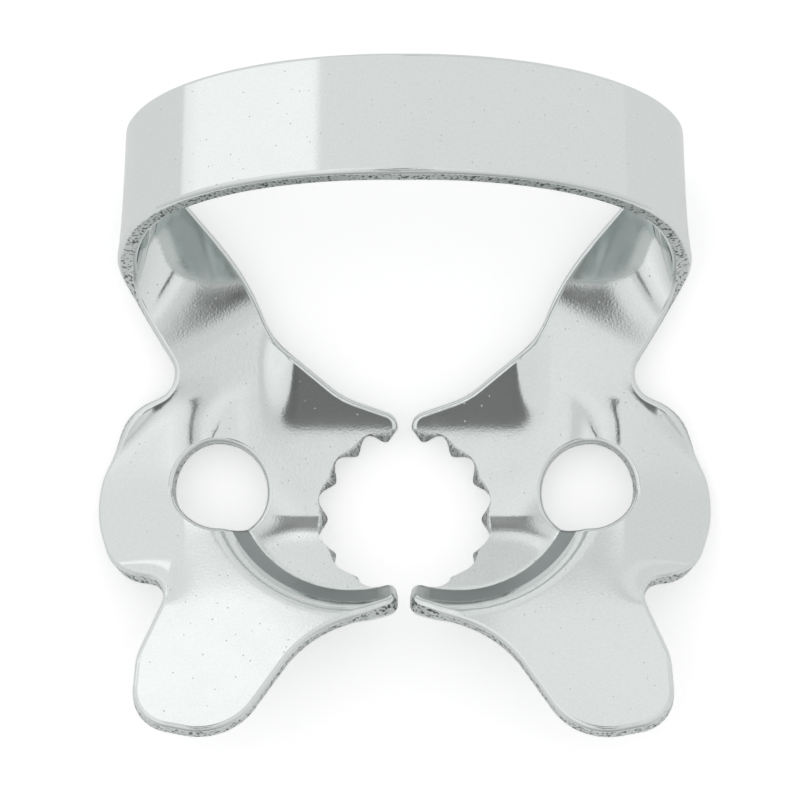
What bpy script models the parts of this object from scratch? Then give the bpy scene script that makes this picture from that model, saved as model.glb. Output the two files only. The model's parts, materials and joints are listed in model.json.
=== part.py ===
"""Winged rubber dam clamp for a molar, one piece of polished spring steel.

The clamp is made here as the press shop makes it. A flat blank is cut from sheet
and its rims are rounded, the two throats that grip the tooth are ground with their
teeth, and the blank is then pressed: the jaws are dished, the side lobes are turned
down, and the strip behind the plates is rolled up and over into the bow.

Frame while modelling: X runs across the clamp, Y points to the bow's side, Z is up,
with the wings level. Only the half at +X is modelled, and a mirror makes the other.
"""

import math

import bmesh
import bpy
import numpy as np
from mathutils import Matrix, Vector

MM = 0.001

# Sheet
SHEET_THICKNESS = 0.85 * MM
RIM_ROUND = 0.22 * MM
RIM_STEPS = 1

# Throat and teeth of one jaw
PRONG_GAP = 0.60 * MM
THROAT_RADIUS = 3.15 * MM
THROAT_X = 0.15 * MM
THROAT_Y = -1.15 * MM
THROAT_BEVEL = 0.35 * MM
TOOTH_DEPTH = 0.47 * MM
TEETH_EACH_SIDE = 3
TOOTH_PITCH = math.radians(27.3)
TOOTH_CROWDING = math.radians(1.2)
TOOTH_SHARPNESS = 1.9

# Hole for the forceps
FORCEPS_BORE = 3.95 * MM
FORCEPS_X = 7.83 * MM
FORCEPS_Y = -0.15 * MM

# Outline of the plate: prongs, wing and side lobe
PRONG_ROUND = 0.60 * MM
MESIAL_PRONG_REACH = 5.62 * MM
DISTAL_PRONG_REACH = 2.95 * MM
WAIST_X = 4.10 * MM
WAIST_REACH = 7.00 * MM
WAIST_ROUND = 5.10 * MM
WING_REACH = 11.85 * MM
WING_INNER_X = 7.30 * MM
WING_OUTER_X = 11.50 * MM
WING_ROUND = 2.85 * MM
WING_SLANT = 0.85 * MM
WING_SIDE_REACH = 8.00 * MM
WING_SIDE_ROUND = 2.70 * MM
NOTCH_X = 9.85 * MM
NOTCH_REACH = 4.60 * MM
NOTCH_ROUND = 0.95 * MM
LOBE_X = 13.32 * MM
LOBE_ROUND = 5.60 * MM
LOBE_FRONT_X = 12.30 * MM
LOBE_FRONT_REACH = 3.90 * MM
LOBE_BACK_X = 11.80 * MM
LOBE_BACK_REACH = 3.15 * MM
LOBE_END_ROUND = 2.40 * MM
NECK_X = 9.40 * MM
NECK_REACH = 4.20 * MM
NECK_ROUND = 1.00 * MM
JAW_BACK_X = 2.65 * MM
JAW_BACK_REACH = 3.70 * MM
JAW_BACK_ROUND = 4.00 * MM

# Strip that becomes the legs and the bow
STRIP_ANGLE = math.radians(62.0)
STRIP_X = 7.85 * MM
STRIP_Y = 5.90 * MM
LEG_LENGTH = 5.20 * MM
LEG_HALF_WIDTH = 2.45 * MM
HEEL_HALF_WIDTH = 1.95 * MM
HEEL_ROUND = 4.50 * MM
BOW_HALF_WIDTH = 2.87 * MM
SHOULDER_HALF_WIDTH = 3.00 * MM
STRIP_ROUND = 10.00 * MM

# Pressed form of the plate
BACK_RISE = math.radians(20.0)
BACK_FOLD_Y = 1.00 * MM
DISH_DEPTH = 0.85 * MM
DISH_X = 2.26 * MM
DISH_Y = 0.12 * MM
DISH_RADIUS = 5.55 * MM
DISH_WALL = 1.20 * MM
DISH_EDGE_SOFTNESS = 0.045 * MM
FOLD_SOFTNESS = 0.13 * MM
LOBE_FOLD_SOFTNESS = 0.42 * MM
JAW_LIP_RISE = math.radians(25.5)
JAW_LIP_Y = 2.80 * MM
JAW_LIP_END_X = 5.40 * MM
JAW_LIP_FADE = 0.90 * MM
LOBE_DROOP = math.radians(20.0)
LOBE_RIDGE_X = 9.80 * MM
LOBE_SOFTNESS = 0.35 * MM

# Rolled form of the bow
BOW_HEIGHT = 13.15 * MM
BOW_SPREAD = 11.58 * MM
BOW_BACK = 10.80 * MM
SHOULDER_HEIGHT = 5.65 * MM
LEG_STRAIGHTNESS = 3.50 * MM
SHOULDER_STRAIGHTNESS = 3.40 * MM
SHOULDER_BEND = 4.45 * MM
CROWN_BEND = 6.30 * MM
TWIST_LENGTH = 1.25

# Fineness of the pressed surfaces
PLATE_CELL = 0.76 * MM
ROLL_CELL = 0.68 * MM
STRIP_CELL = 1.40 * MM
ARC_STEP = 0.45 * MM
TOOTH_STEPS = 6
BEND_TOLERANCE = 0.22 * MM
ROUTE_STEPS = 200

STRIP_ALONG = np.array([math.cos(STRIP_ANGLE), math.sin(STRIP_ANGLE)])
STRIP_ACROSS = np.array([-math.sin(STRIP_ANGLE), math.cos(STRIP_ANGLE)])
STRIP_ROOT = np.array([STRIP_X, STRIP_Y])


def clear_scene():
    for thing in list(bpy.data.objects):
        bpy.data.objects.remove(thing, do_unlink=True)


def new_collection(name):
    group = bpy.data.collections.new(name)
    bpy.context.scene.collection.children.link(group)
    return group


def steel(name):
    """Polished stainless spring steel."""
    material = bpy.data.materials.new(name)
    material.use_nodes = True
    shader = material.node_tree.nodes["Principled BSDF"]
    shader.inputs["Base Color"].default_value = (0.60, 0.63, 0.62, 1.0)
    shader.inputs["Metallic"].default_value = 1.0
    shader.inputs["Roughness"].default_value = 0.12
    return material


# Curves that the forming uses

def soft_step(value, start, end):
    """0 before start and 1 after end, with no kink at either."""
    share = np.clip((value - start) / (end - start), 0.0, 1.0)
    return share ** 3 * (10.0 - 15.0 * share + 6.0 * share ** 2)


def soft_larger(first, second, softness):
    """The larger of two heights, with a rounded fold where they cross."""
    top = np.maximum(first, second)
    apart = np.abs(first - second)
    return top + softness * np.log1p(np.exp(-apart / softness))


def bezier(start, leave, arrive, end, steps):
    share = np.linspace(0.0, 1.0, steps)[:, None]
    rest = 1.0 - share
    return (start * rest ** 3 + 3.0 * leave * share * rest ** 2
            + 3.0 * arrive * share ** 2 * rest + end * share ** 3)


def roll_route():
    """Middle line of the strip once rolled: leg, shoulder, then up to the crown."""
    slope = math.tan(BACK_RISE)
    root = np.array([STRIP_X, STRIP_Y, slope * (STRIP_Y - BACK_FOLD_Y)])
    leaving = np.array([STRIP_ALONG[0], STRIP_ALONG[1], slope * STRIP_ALONG[1]])
    leaving = leaving / np.linalg.norm(leaving)
    up = np.array([0.0, 0.0, 1.0])
    outward = np.array([1.0, 0.0, 0.0])
    shoulder = np.array([BOW_SPREAD, BOW_BACK, SHOULDER_HEIGHT])
    crown = np.array([0.0, BOW_BACK, BOW_HEIGHT])
    leg = bezier(root, root + LEG_STRAIGHTNESS * leaving,
                 shoulder - SHOULDER_STRAIGHTNESS * up, shoulder, ROUTE_STEPS)
    arch = bezier(shoulder, shoulder + SHOULDER_BEND * up,
                  crown + CROWN_BEND * outward, crown, ROUTE_STEPS)
    points = np.vstack([leg, arch[1:]])
    runs = np.linalg.norm(np.diff(points, axis=0), axis=1)
    lengths = np.concatenate([[0.0], np.cumsum(runs)])
    return lengths, points, lengths[ROUTE_STEPS - 1]


ROUTE_LENGTHS, ROUTE_POINTS, SHOULDER_RUN = roll_route()
CROWN_RUN = ROUTE_LENGTHS[-1]


def strip_coordinates(x, y):
    """How far a flat point lies along the strip and to the side of its middle."""
    along = (x - STRIP_ROOT[0]) * STRIP_ALONG[0] + (y - STRIP_ROOT[1]) * STRIP_ALONG[1]
    across = (x - STRIP_ROOT[0]) * STRIP_ACROSS[0] + (y - STRIP_ROOT[1]) * STRIP_ACROSS[1]
    return along, across


def strip_point(along, across):
    """Flat point at a place along and across the strip."""
    return STRIP_ROOT + along * STRIP_ALONG + across * STRIP_ACROSS


def plate_height(x, y, along):
    """Pressed height of the plate: raised back, dished jaw and drooping side lobe."""
    past_dish = np.hypot(x - DISH_X, y - DISH_Y) - DISH_RADIUS - DISH_WALL / 2
    wall = soft_larger(past_dish * DISH_DEPTH / DISH_WALL, -DISH_DEPTH, DISH_EDGE_SOFTNESS)
    floor = -soft_larger(-wall, 0.0, DISH_EDGE_SOFTNESS)
    beside_leg = 1.0 - soft_step(along, -LEG_HALF_WIDTH, 0.0)
    jaw_end = soft_step(x, JAW_LIP_END_X - JAW_LIP_FADE, JAW_LIP_END_X + JAW_LIP_FADE)
    on_jaw = (1.0 - jaw_end) * beside_leg
    extra_rise = math.tan(JAW_LIP_RISE) - math.tan(BACK_RISE)
    lip = extra_rise * soft_larger(y - JAW_LIP_Y, 0.0, LOBE_SOFTNESS) * on_jaw
    back = math.tan(BACK_RISE) * (y - BACK_FOLD_Y) + lip
    widening = soft_step(x, WAIST_X, LOBE_RIDGE_X) * beside_leg
    softness = FOLD_SOFTNESS + (LOBE_FOLD_SOFTNESS - FOLD_SOFTNESS) * widening
    height = soft_larger(back, floor, softness)
    past_ridge = soft_larger(x - LOBE_RIDGE_X, 0.0, LOBE_SOFTNESS)
    beside_wing = soft_step(y, -NOTCH_REACH - RIM_ROUND * 6, -NOTCH_REACH + RIM_ROUND * 6)
    return height - math.tan(LOBE_DROOP) * past_ridge * beside_leg * beside_wing


def pressed_middle(x, y):
    """Where the pressing takes a point of the blank's middle plane."""
    along, across = strip_coordinates(x, y)
    plate = np.stack([x, y, plate_height(x, y, along)], axis=-1)
    route = np.stack([np.interp(along, ROUTE_LENGTHS, ROUTE_POINTS[:, axis])
                      for axis in range(3)], axis=-1)
    route[..., 0] -= np.maximum(along - CROWN_RUN, 0.0)
    at_root = np.array([STRIP_ACROSS[0], STRIP_ACROSS[1],
                        math.tan(BACK_RISE) * STRIP_ACROSS[1]])
    at_bow = np.array([0.0, 1.0, 0.0])
    turned = soft_step(along, 0.0, SHOULDER_RUN * TWIST_LENGTH)[..., None]
    side = at_root * (1.0 - turned) + at_bow * turned
    strip = route + across[..., None] * side
    return np.where((along > 0.0)[..., None], strip, plate)


def pressed(points):
    """Where the pressing takes solid points of the blank, given as rows of x, y, z."""
    x, y, z = points.T
    nudge = 0.002 * MM
    along_x = pressed_middle(x + nudge, y) - pressed_middle(x - nudge, y)
    along_y = pressed_middle(x, y + nudge) - pressed_middle(x, y - nudge)
    normal = np.cross(along_x, along_y)
    normal = normal / np.linalg.norm(normal, axis=1, keepdims=True)
    return pressed_middle(x, y) + z[:, None] * normal


# Flat blank

def blank_corners():
    """Corners of half the blank with the fillet radius of each, anticlockwise."""
    past_crown = CROWN_RUN + BOW_HALF_WIDTH
    shoulder_run = SHOULDER_RUN + RIM_ROUND
    leg_front = strip_point(LEG_LENGTH, -LEG_HALF_WIDTH)
    crown_front = strip_point(past_crown, -BOW_HALF_WIDTH)
    crown_back = strip_point(past_crown, BOW_HALF_WIDTH)
    shoulder_back = strip_point(shoulder_run, SHOULDER_HALF_WIDTH)
    leg_back = strip_point(LEG_LENGTH * 2 / 3, LEG_HALF_WIDTH)
    heel_back = strip_point(-HEEL_HALF_WIDTH / 2, HEEL_HALF_WIDTH)
    return [
        (PRONG_GAP / 2, -MESIAL_PRONG_REACH, PRONG_ROUND),
        (WAIST_X, -WAIST_REACH, WAIST_ROUND),
        (WING_INNER_X, -WING_REACH, WING_ROUND),
        (WING_OUTER_X, -WING_REACH + WING_SLANT, WING_ROUND),
        (WING_OUTER_X - RIM_ROUND, -WING_SIDE_REACH, WING_SIDE_ROUND),
        (NOTCH_X, -NOTCH_REACH, NOTCH_ROUND),
        (LOBE_FRONT_X, -LOBE_FRONT_REACH, LOBE_END_ROUND),
        (LOBE_X, (LOBE_BACK_REACH - LOBE_FRONT_REACH) / 2, LOBE_ROUND),
        (LOBE_BACK_X, LOBE_BACK_REACH, LOBE_END_ROUND),
        (NECK_X, NECK_REACH, NECK_ROUND),
        (*leg_front, STRIP_ROUND),
        (*crown_front, 0.0),
        (*crown_back, 0.0),
        (*shoulder_back, STRIP_ROUND),
        (*leg_back, STRIP_ROUND),
        (*heel_back, HEEL_ROUND),
        (JAW_BACK_X, JAW_BACK_REACH, JAW_BACK_ROUND),
        (PRONG_GAP / 2, DISTAL_PRONG_REACH, PRONG_ROUND),
    ]


def filleted(corners):
    """Outline through the corners, with an arc in place of each rounded one."""
    points = []
    places = [Vector(corner[:2]) for corner in corners]
    for index, (x, y, radius) in enumerate(corners):
        here = places[index]
        back = places[index - 1] - here
        ahead = places[(index + 1) % len(places)] - here
        half_angle = back.angle(ahead) / 2
        if radius == 0.0 or half_angle > math.radians(89.0):
            points.append(here)
            continue
        room = min(back.length, ahead.length) / 2
        cut_back = min(radius / math.tan(half_angle), room)
        radius = cut_back * math.tan(half_angle)
        start = here + back.normalized() * cut_back
        end = here + ahead.normalized() * cut_back
        middle = (back.normalized() + ahead.normalized()).normalized()
        centre = here + middle * radius / math.sin(half_angle)
        swing = (start - centre).angle_signed(end - centre)
        steps = max(2, math.ceil(abs(swing) * radius / ARC_STEP))
        for step in range(steps + 1):
            turn = Matrix.Rotation(-swing * step / steps, 2)
            points.append(centre + turn @ (start - centre))
    return points


def circle(x, y, radius):
    steps = math.ceil(2 * math.pi * radius / ARC_STEP)
    turns = [2 * math.pi * step / steps for step in range(steps)]
    return [Vector((x + radius * math.cos(turn), y + radius * math.sin(turn)))
            for turn in turns]


def make_blank(collection):
    """Flat half blank with the forceps hole, all its rims rounded."""
    curve = bpy.data.curves.new("blank_outline", "CURVE")
    curve.dimensions = "2D"
    curve.fill_mode = "BOTH"
    for outline in (filleted(blank_corners()),
                    circle(FORCEPS_X, FORCEPS_Y, FORCEPS_BORE / 2)):
        spline = curve.splines.new("POLY")
        spline.points.add(len(outline) - 1)
        for point, place in zip(spline.points, outline):
            point.co = (place.x, place.y, 0.0, 1.0)
        spline.use_cyclic_u = True
    curve.extrude = SHEET_THICKNESS / 2 - RIM_ROUND
    curve.bevel_depth = RIM_ROUND
    curve.bevel_resolution = RIM_STEPS
    curve.offset = -RIM_ROUND
    outline_object = bpy.data.objects.new("blank_outline", curve)
    collection.objects.link(outline_object)
    graph = bpy.context.evaluated_depsgraph_get()
    mesh = bpy.data.meshes.new_from_object(outline_object.evaluated_get(graph))
    bpy.data.objects.remove(outline_object)
    shape = bmesh.new()
    shape.from_mesh(mesh)
    bmesh.ops.remove_doubles(shape, verts=shape.verts, dist=0.0001 * MM)
    bmesh.ops.recalc_face_normals(shape, faces=shape.faces)
    shape.to_mesh(mesh)
    shape.free()
    blank = bpy.data.objects.new("blank", mesh)
    collection.objects.link(blank)
    blank.hide_render = True
    blank.display_type = "WIRE"
    return blank


def tooth_angle(number):
    """Angle of a tooth about the throat's centre, counted from the middle tooth."""
    crowding = TOOTH_CROWDING * np.abs(number) * (np.abs(number) - 1.0) / 2
    return number * TOOTH_PITCH - np.sign(number) * crowding


def throat_outline(tip_radius, root_radius):
    """Wavy outline of the toothed throat about its centre, plain on its open side."""
    last = TEETH_EACH_SIDE + 0.5
    numbers = np.linspace(-last, last, (2 * TEETH_EACH_SIDE + 1) * TOOTH_STEPS + 1)
    open_turns = np.linspace(tooth_angle(last), 2 * math.pi - tooth_angle(last), TOOTH_STEPS)
    turns = np.concatenate([tooth_angle(numbers), open_turns[1:-1]])
    share = np.ones_like(turns)
    share[:len(numbers)] = np.abs(np.sin(math.pi * numbers)) ** TOOTH_SHARPNESS
    radius = tip_radius + (root_radius - tip_radius) * share
    return np.stack([THROAT_X + radius * np.cos(turns), THROAT_Y + radius * np.sin(turns)],
                    axis=-1)


def add_throat_cutter(collection):
    """Cutter for the throat, whose teeth are bevelled toward the upper face."""
    above = SHEET_THICKNESS * 1.5
    flare = THROAT_BEVEL * (above / SHEET_THICKNESS - 0.5)
    lower_tip = THROAT_RADIUS - flare
    upper_tip = THROAT_RADIUS + THROAT_BEVEL + flare
    root = THROAT_RADIUS + TOOTH_DEPTH
    shape = bmesh.new()
    rings = [[shape.verts.new((x, y, height)) for x, y in throat_outline(tip, root)]
             for height, tip in ((-above, lower_tip), (above, upper_tip))]
    lower, upper = rings
    walls = [shape.faces.new((lower[index - 1], lower[index], upper[index], upper[index - 1]))
             for index in range(len(lower))]
    bmesh.ops.triangulate(shape, faces=walls)
    shape.faces.new(lower[::-1])
    shape.faces.new(upper)
    mesh = bpy.data.meshes.new("throat")
    shape.to_mesh(mesh)
    shape.free()
    cutter = bpy.data.objects.new("throat", mesh)
    cutter.hide_render = True
    cutter.display_type = "WIRE"
    collection.objects.link(cutter)


def cut_at(shape, place, direction, wanted=None, clear_outer=False):
    """Cut the shape, or only its wanted faces, along one upright plane."""
    faces = [face for face in shape.faces if wanted is None or wanted(face)]
    edges = {edge for face in faces for edge in face.edges}
    verts = {vert for face in faces for vert in face.verts}
    bmesh.ops.bisect_plane(shape, geom=[*faces, *edges, *verts], dist=0.0001 * MM,
                           plane_co=(*place, 0.0), plane_no=(*direction, 0.0),
                           clear_outer=clear_outer)


def on_strip(face):
    centre = face.calc_center_median()
    return strip_coordinates(centre.x, centre.y)[0] > 0.0


def on_plate(face):
    return not on_strip(face)


def fine(face):
    return face.smooth


def bends(face):
    """Whether the pressed plate bends near a face, as at the dish's wall and the folds."""
    centre = face.calc_center_median()
    x = centre.x + PLATE_CELL / 2 * np.array([0, 1, -1, 0, 0])
    y = centre.y + PLATE_CELL / 2 * np.array([0, 0, 0, 1, -1])
    along = strip_coordinates(x, y)[0]
    heights = plate_height(x, y, along)
    curving = abs(heights[1:].sum() - 4 * heights[0])
    return bool(along[0] < 0.0 and curving > BEND_TOLERANCE)


def cut_into_cells(shape):
    """Cut the faces into cells small enough to follow the pressed form."""
    cut_at(shape, STRIP_ROOT, STRIP_ALONG)
    for run in np.arange(ROLL_CELL, CROWN_RUN, ROLL_CELL):
        cut_at(shape, strip_point(run, 0.0), STRIP_ALONG, on_strip)
    for side in np.arange(-BOW_HALF_WIDTH, BOW_HALF_WIDTH, STRIP_CELL) + STRIP_CELL / 2:
        cut_at(shape, strip_point(0.0, side), STRIP_ACROSS, on_strip)
    for x in np.arange(PRONG_GAP / 2, LOBE_X, PLATE_CELL):
        cut_at(shape, (x, 0.0), (1.0, 0.0), on_plate)
    for y in np.arange(-WING_REACH, STRIP_Y + LEG_HALF_WIDTH, PLATE_CELL):
        cut_at(shape, (0.0, y), (0.0, 1.0), on_plate)
    for face in shape.faces:
        face.smooth = bends(face)
    for x in np.arange(PRONG_GAP / 2, LOBE_X, PLATE_CELL) + PLATE_CELL / 2:
        cut_at(shape, (x, 0.0), (1.0, 0.0), fine)
    for y in np.arange(-WING_REACH, STRIP_Y + LEG_HALF_WIDTH, PLATE_CELL) + PLATE_CELL / 2:
        cut_at(shape, (0.0, y), (0.0, 1.0), fine)


def make_clamp(blank, collection):
    """Press the cut blank and mirror it at the crown."""
    graph = bpy.context.evaluated_depsgraph_get()
    mesh = bpy.data.meshes.new_from_object(blank.evaluated_get(graph))
    mesh.name = "clamp"
    shape = bmesh.new()
    shape.from_mesh(mesh)
    bmesh.ops.remove_doubles(shape, verts=shape.verts, dist=0.001 * MM)
    cut_at(shape, strip_point(CROWN_RUN, 0.0), STRIP_ALONG, clear_outer=True)
    cut_into_cells(shape)
    bmesh.ops.triangulate(shape, faces=[face for face in shape.faces if len(face.verts) > 4])
    flat = np.array([vert.co for vert in shape.verts])
    along = strip_coordinates(flat[:, 0], flat[:, 1])[0]
    formed = pressed(flat)
    formed[along > CROWN_RUN - 0.001 * MM, 0] = 0.0
    for vert, place in zip(shape.verts, formed):
        vert.co = place
    shape.to_mesh(mesh)
    shape.free()
    mesh.shade_smooth()
    mesh.set_sharp_from_angle(angle=math.radians(35.0))
    mesh.materials.clear()
    mesh.materials.append(steel("polished_spring_steel"))
    clamp = bpy.data.objects.new("clamp", mesh)
    collection.objects.link(clamp)
    mirror = clamp.modifiers.new("other_half", "MIRROR")
    mirror.use_axis = (True, False, False)
    mirror.merge_threshold = 0.01 * MM
    return clamp


def rest_pitch(places):
    """Backward lean at which the side lobes and the heels of the legs touch the ground."""
    heels = places[:, 1] > STRIP_Y
    lean = 0.0
    most = math.pi / 4
    while most - lean > 1e-6:
        middle = (lean + most) / 2
        heights = places[:, 2] * math.cos(middle) - places[:, 1] * math.sin(middle)
        if heights[heels].min() > heights[~heels].min():
            lean = middle
        else:
            most = middle
    return lean


def lay_down(clamp):
    """Set the clamp on the ground as it comes to rest, centred on the origin."""
    places = np.array([vert.co for vert in clamp.data.vertices])
    lean = rest_pitch(places)
    turn = Matrix.Rotation(-lean, 3, "X")
    placed = places @ np.array(turn).T
    low = placed.min(axis=0)
    high = placed.max(axis=0)
    clamp.rotation_euler = (-lean, 0.0, 0.0)
    clamp.location = (0.0, -(low[1] + high[1]) / 2, -low[2])


clear_scene()
parts = new_collection("rubber_dam_clamp")
cutters = new_collection("cutters")
blanks = new_collection("blanks")
add_throat_cutter(cutters)
blank = make_blank(blanks)
cut = blank.modifiers.new("throat_and_teeth", "BOOLEAN")
cut.solver = "EXACT"
cut.operation = "DIFFERENCE"
cut.operand_type = "COLLECTION"
cut.collection = cutters
lay_down(make_clamp(blank, parts))
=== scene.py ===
# %% [markdown]
# # A winged rubber dam clamp in polished spring steel
#
# A dentist stretches a thin rubber sheet over a tooth and holds it there with this
# clamp. It is one piece of sheet steel: two toothed jaws grip the neck of a molar, a
# hole in each jaw takes the forceps that spread it, the two wings at the front carry
# the sheet, and the high bow at the back is the spring.
#
# This notebook makes that piece in the order of the press shop: a flat blank is cut,
# its rims are rounded, the teeth are ground, and the blank is pressed to shape. Then
# it gets its finish, a studio and a camera.

import json
import math

import bmesh
import bpy
import numpy as np
from mathutils import Matrix, Vector

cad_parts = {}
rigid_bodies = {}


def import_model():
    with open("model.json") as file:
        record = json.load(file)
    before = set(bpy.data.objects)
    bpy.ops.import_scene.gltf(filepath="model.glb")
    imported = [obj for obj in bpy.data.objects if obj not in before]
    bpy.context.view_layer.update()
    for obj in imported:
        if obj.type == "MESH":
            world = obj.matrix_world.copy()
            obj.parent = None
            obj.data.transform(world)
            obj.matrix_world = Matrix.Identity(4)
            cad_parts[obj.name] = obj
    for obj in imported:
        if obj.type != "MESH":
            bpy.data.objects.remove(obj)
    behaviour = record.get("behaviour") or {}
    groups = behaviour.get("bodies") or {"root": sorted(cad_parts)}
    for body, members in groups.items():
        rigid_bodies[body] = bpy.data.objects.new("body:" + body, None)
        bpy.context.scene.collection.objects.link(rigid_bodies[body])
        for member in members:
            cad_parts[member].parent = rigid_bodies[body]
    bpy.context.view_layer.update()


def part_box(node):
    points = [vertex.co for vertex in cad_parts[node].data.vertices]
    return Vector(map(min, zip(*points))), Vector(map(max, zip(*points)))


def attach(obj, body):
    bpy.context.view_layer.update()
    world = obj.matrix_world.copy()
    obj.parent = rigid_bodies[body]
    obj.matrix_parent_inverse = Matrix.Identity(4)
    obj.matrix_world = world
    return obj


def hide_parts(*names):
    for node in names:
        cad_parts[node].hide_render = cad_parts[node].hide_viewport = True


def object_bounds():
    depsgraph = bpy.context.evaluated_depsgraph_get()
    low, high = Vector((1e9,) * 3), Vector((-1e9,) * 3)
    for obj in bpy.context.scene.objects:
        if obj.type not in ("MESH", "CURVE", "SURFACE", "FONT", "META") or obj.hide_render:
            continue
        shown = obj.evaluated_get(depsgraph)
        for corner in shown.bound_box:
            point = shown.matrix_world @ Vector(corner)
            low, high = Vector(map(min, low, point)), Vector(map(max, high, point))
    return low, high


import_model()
low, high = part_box("clamp")
print("clamp in the frame, mm:", [round(side * 1000, 2) for side in high - low])

# %% [markdown]
# ## Units and small helpers
#
# Blender counts in metres, and a part this small is easier to think of in
# millimetres, so one name turns them round. Colours are written as in a paint
# program, in sRGB, and Blender's shaders want them linear, so one function does that
# and no colour is written twice.

# %% Units and colour
MM = 0.001
SAME_POINT = 0.0001 * MM


def linear(hex_colour):
    """sRGB hex to the linear RGBA that a shader takes."""
    channels = [int(hex_colour[place:place + 2], 16) / 255 for place in (1, 3, 5)]
    return (*[value / 12.92 if value <= 0.04045 else ((value + 0.055) / 1.055) ** 2.4
              for value in channels], 1.0)


def collection(name):
    group = bpy.data.collections.new(name)
    bpy.context.scene.collection.children.link(group)
    return group


# %% [markdown]
# ## The sizes of the clamp
#
# Everything that a toolmaker would put on the drawing is named here once. The clamp
# is the same left and right, so only the half at +X is drawn, and a mirror makes the
# other. X runs across the clamp, Y points to the bow's side, and Z is up while the
# wings lie level.

# %% Sheet, throat and forceps hole
SHEET_THICKNESS = 0.85 * MM
RIM_ROUND = 0.22 * MM
PRONG_GAP = 0.60 * MM
THROAT_RADIUS = 3.15 * MM
THROAT_X = 0.15 * MM
THROAT_Y = -1.15 * MM
THROAT_BEVEL = 0.35 * MM
TOOTH_DEPTH = 0.47 * MM
TEETH_EACH_SIDE = 3
TOOTH_PITCH = math.radians(27.3)
TOOTH_CROWDING = math.radians(1.2)
TOOTH_SHARPNESS = 1.9
FORCEPS_BORE = 3.95 * MM
FORCEPS_X = 7.83 * MM
FORCEPS_Y = -0.15 * MM

# %% Corners of the plate
PRONG_ROUND = 0.60 * MM
MESIAL_PRONG_REACH = 5.62 * MM
DISTAL_PRONG_REACH = 2.95 * MM
WAIST_X = 4.10 * MM
WAIST_REACH = 7.00 * MM
WAIST_ROUND = 5.10 * MM
WING_REACH = 11.85 * MM
WING_INNER_X = 7.30 * MM
WING_OUTER_X = 11.50 * MM
WING_ROUND = 2.85 * MM
WING_SLANT = 0.85 * MM
WING_SIDE_REACH = 8.00 * MM
WING_SIDE_ROUND = 2.70 * MM
NOTCH_X = 9.85 * MM
NOTCH_REACH = 4.60 * MM
NOTCH_ROUND = 0.95 * MM
LOBE_X = 13.32 * MM
LOBE_ROUND = 5.60 * MM
LOBE_FRONT_X = 12.30 * MM
LOBE_FRONT_REACH = 3.90 * MM
LOBE_BACK_X = 11.80 * MM
LOBE_BACK_REACH = 3.15 * MM
LOBE_END_ROUND = 2.40 * MM
NECK_X = 9.40 * MM
NECK_REACH = 4.20 * MM
NECK_ROUND = 1.00 * MM
JAW_BACK_X = 2.65 * MM
JAW_BACK_REACH = 3.70 * MM
JAW_BACK_ROUND = 4.00 * MM

# %% The strip that becomes the legs and the bow
STRIP_ANGLE = math.radians(62.0)
STRIP_X = 7.85 * MM
STRIP_Y = 5.90 * MM
LEG_LENGTH = 5.20 * MM
LEG_HALF_WIDTH = 2.45 * MM
HEEL_HALF_WIDTH = 1.95 * MM
HEEL_ROUND = 4.50 * MM
BOW_HALF_WIDTH = 2.87 * MM
SHOULDER_HALF_WIDTH = 3.00 * MM
STRIP_ROUND = 10.00 * MM

# %% The pressed form
BACK_RISE = math.radians(20.0)
BACK_FOLD_Y = 1.00 * MM
DISH_DEPTH = 0.85 * MM
DISH_X = 2.26 * MM
DISH_Y = 0.12 * MM
DISH_RADIUS = 5.55 * MM
DISH_WALL = 1.20 * MM
DISH_EDGE_SOFTNESS = 0.045 * MM
FOLD_SOFTNESS = 0.13 * MM
LOBE_FOLD_SOFTNESS = 0.42 * MM
JAW_LIP_RISE = math.radians(25.5)
JAW_LIP_Y = 2.80 * MM
JAW_LIP_END_X = 5.40 * MM
JAW_LIP_FADE = 0.90 * MM
LOBE_DROOP = math.radians(20.0)
LOBE_RIDGE_X = 9.80 * MM
LOBE_SOFTNESS = 0.35 * MM
WING_FADE = 6 * RIM_ROUND
BOW_HEIGHT = 13.15 * MM
BOW_SPREAD = 11.58 * MM
BOW_BACK = 10.80 * MM
SHOULDER_HEIGHT = 5.65 * MM
LEG_STRAIGHTNESS = 3.50 * MM
SHOULDER_STRAIGHTNESS = 3.40 * MM
SHOULDER_BEND = 4.45 * MM
CROWN_BEND = 6.30 * MM
TWIST_LENGTH = 1.25

# %% [markdown]
# ## How the steel is pressed
#
# On the real clamp a die dishes the jaws, turns the side lobes down and lifts the
# back by about 20 degrees, and a second one rolls the strip up and over into the bow.
# A sculpted mesh could imitate that, but its sheet would never be evenly thick. Here
# the press is a function instead: it takes a point of the flat blank and says where
# that point of the sheet ends up. The thickness is then carried along the surface's
# own normal, so the sheet is 0.85 mm thick everywhere, as rolled sheet is.


# %% Soft steps and folds
def soft_step(value, start, end):
    """0 before start and 1 after end, with no kink at either."""
    share = np.clip((value - start) / (end - start), 0.0, 1.0)
    return share ** 3 * (10.0 - 15.0 * share + 6.0 * share ** 2)


def soft_larger(first, second, softness):
    """The larger of two heights, with a rounded fold where they cross."""
    top = np.maximum(first, second)
    apart = np.abs(first - second)
    return top + softness * np.log1p(np.exp(-apart / softness))


# %% [markdown]
# The strip follows one line in space: out and up along the leg, round the shoulder,
# then over to the crown of the bow. Two Bezier curves that meet at the shoulder draw
# it, because their handles say directly how straight each end leaves. Measuring the
# line's length tells how long the flat strip has to be.

# %% The line that the strip is rolled along
ROUTE_STEPS = 1500
STRIP_ALONG = np.array([math.cos(STRIP_ANGLE), math.sin(STRIP_ANGLE)])
STRIP_ACROSS = np.array([-math.sin(STRIP_ANGLE), math.cos(STRIP_ANGLE)])
STRIP_ROOT = np.array([STRIP_X, STRIP_Y])


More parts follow.
